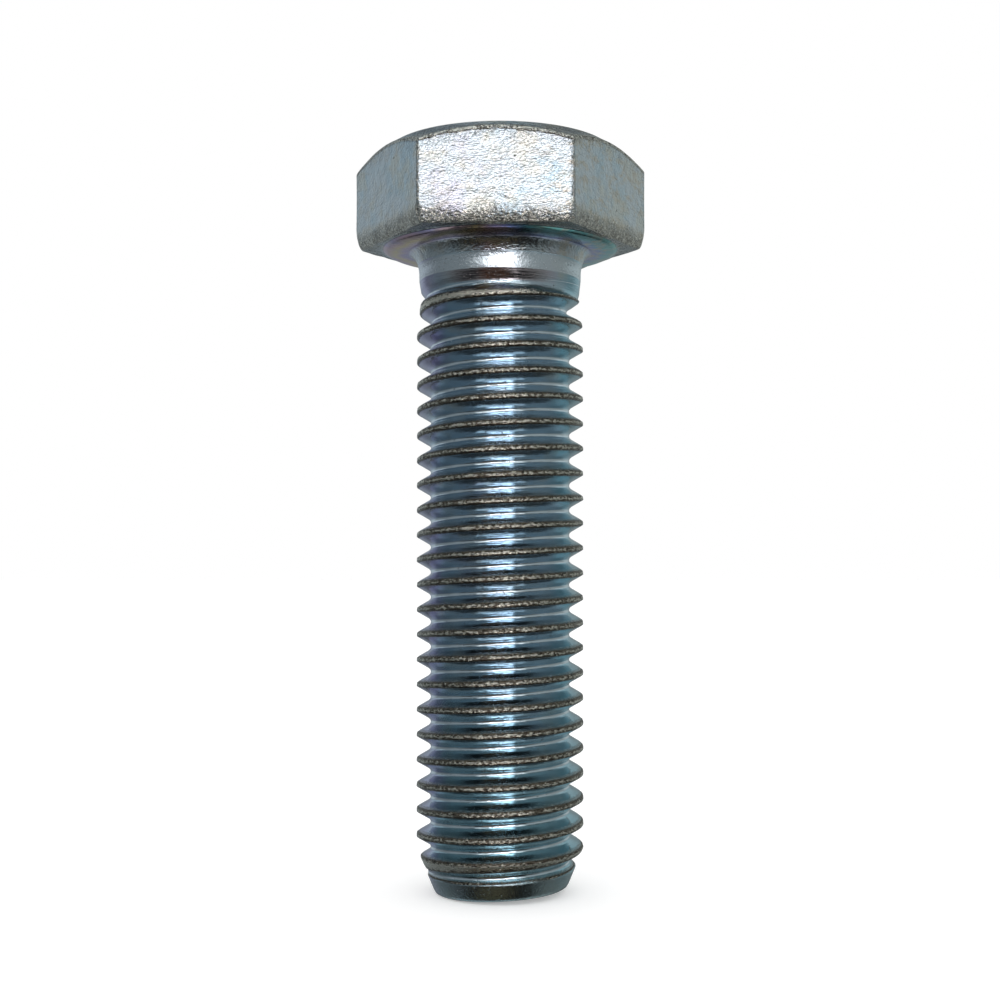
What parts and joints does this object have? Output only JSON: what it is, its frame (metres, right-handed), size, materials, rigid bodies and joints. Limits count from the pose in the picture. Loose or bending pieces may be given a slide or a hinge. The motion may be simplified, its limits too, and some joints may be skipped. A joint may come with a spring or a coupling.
{
  "type": "hex bolt",
  "caption": "Hexagon head bolt in bright zinc plate: coarse metric thread up to the head, washer face, chamfered head top and cone point",
  "frame": {"origin": "centre of the bearing face under the head", "axes": "+Z along the bolt's axis from the tip to the head; two flats of the hexagon face -Y and +Y, two of its corners +X and -X"},
  "size_m": [0.0204, 0.0178, 0.0522],
  "materials": {
    "zinc_plate": "bright zinc plate with a blue passivate over rolled and forged steel"
  },
  "bodies": {
    "root": {"hex_bolt": "zinc_plate"}
  },
  "joints": []
}
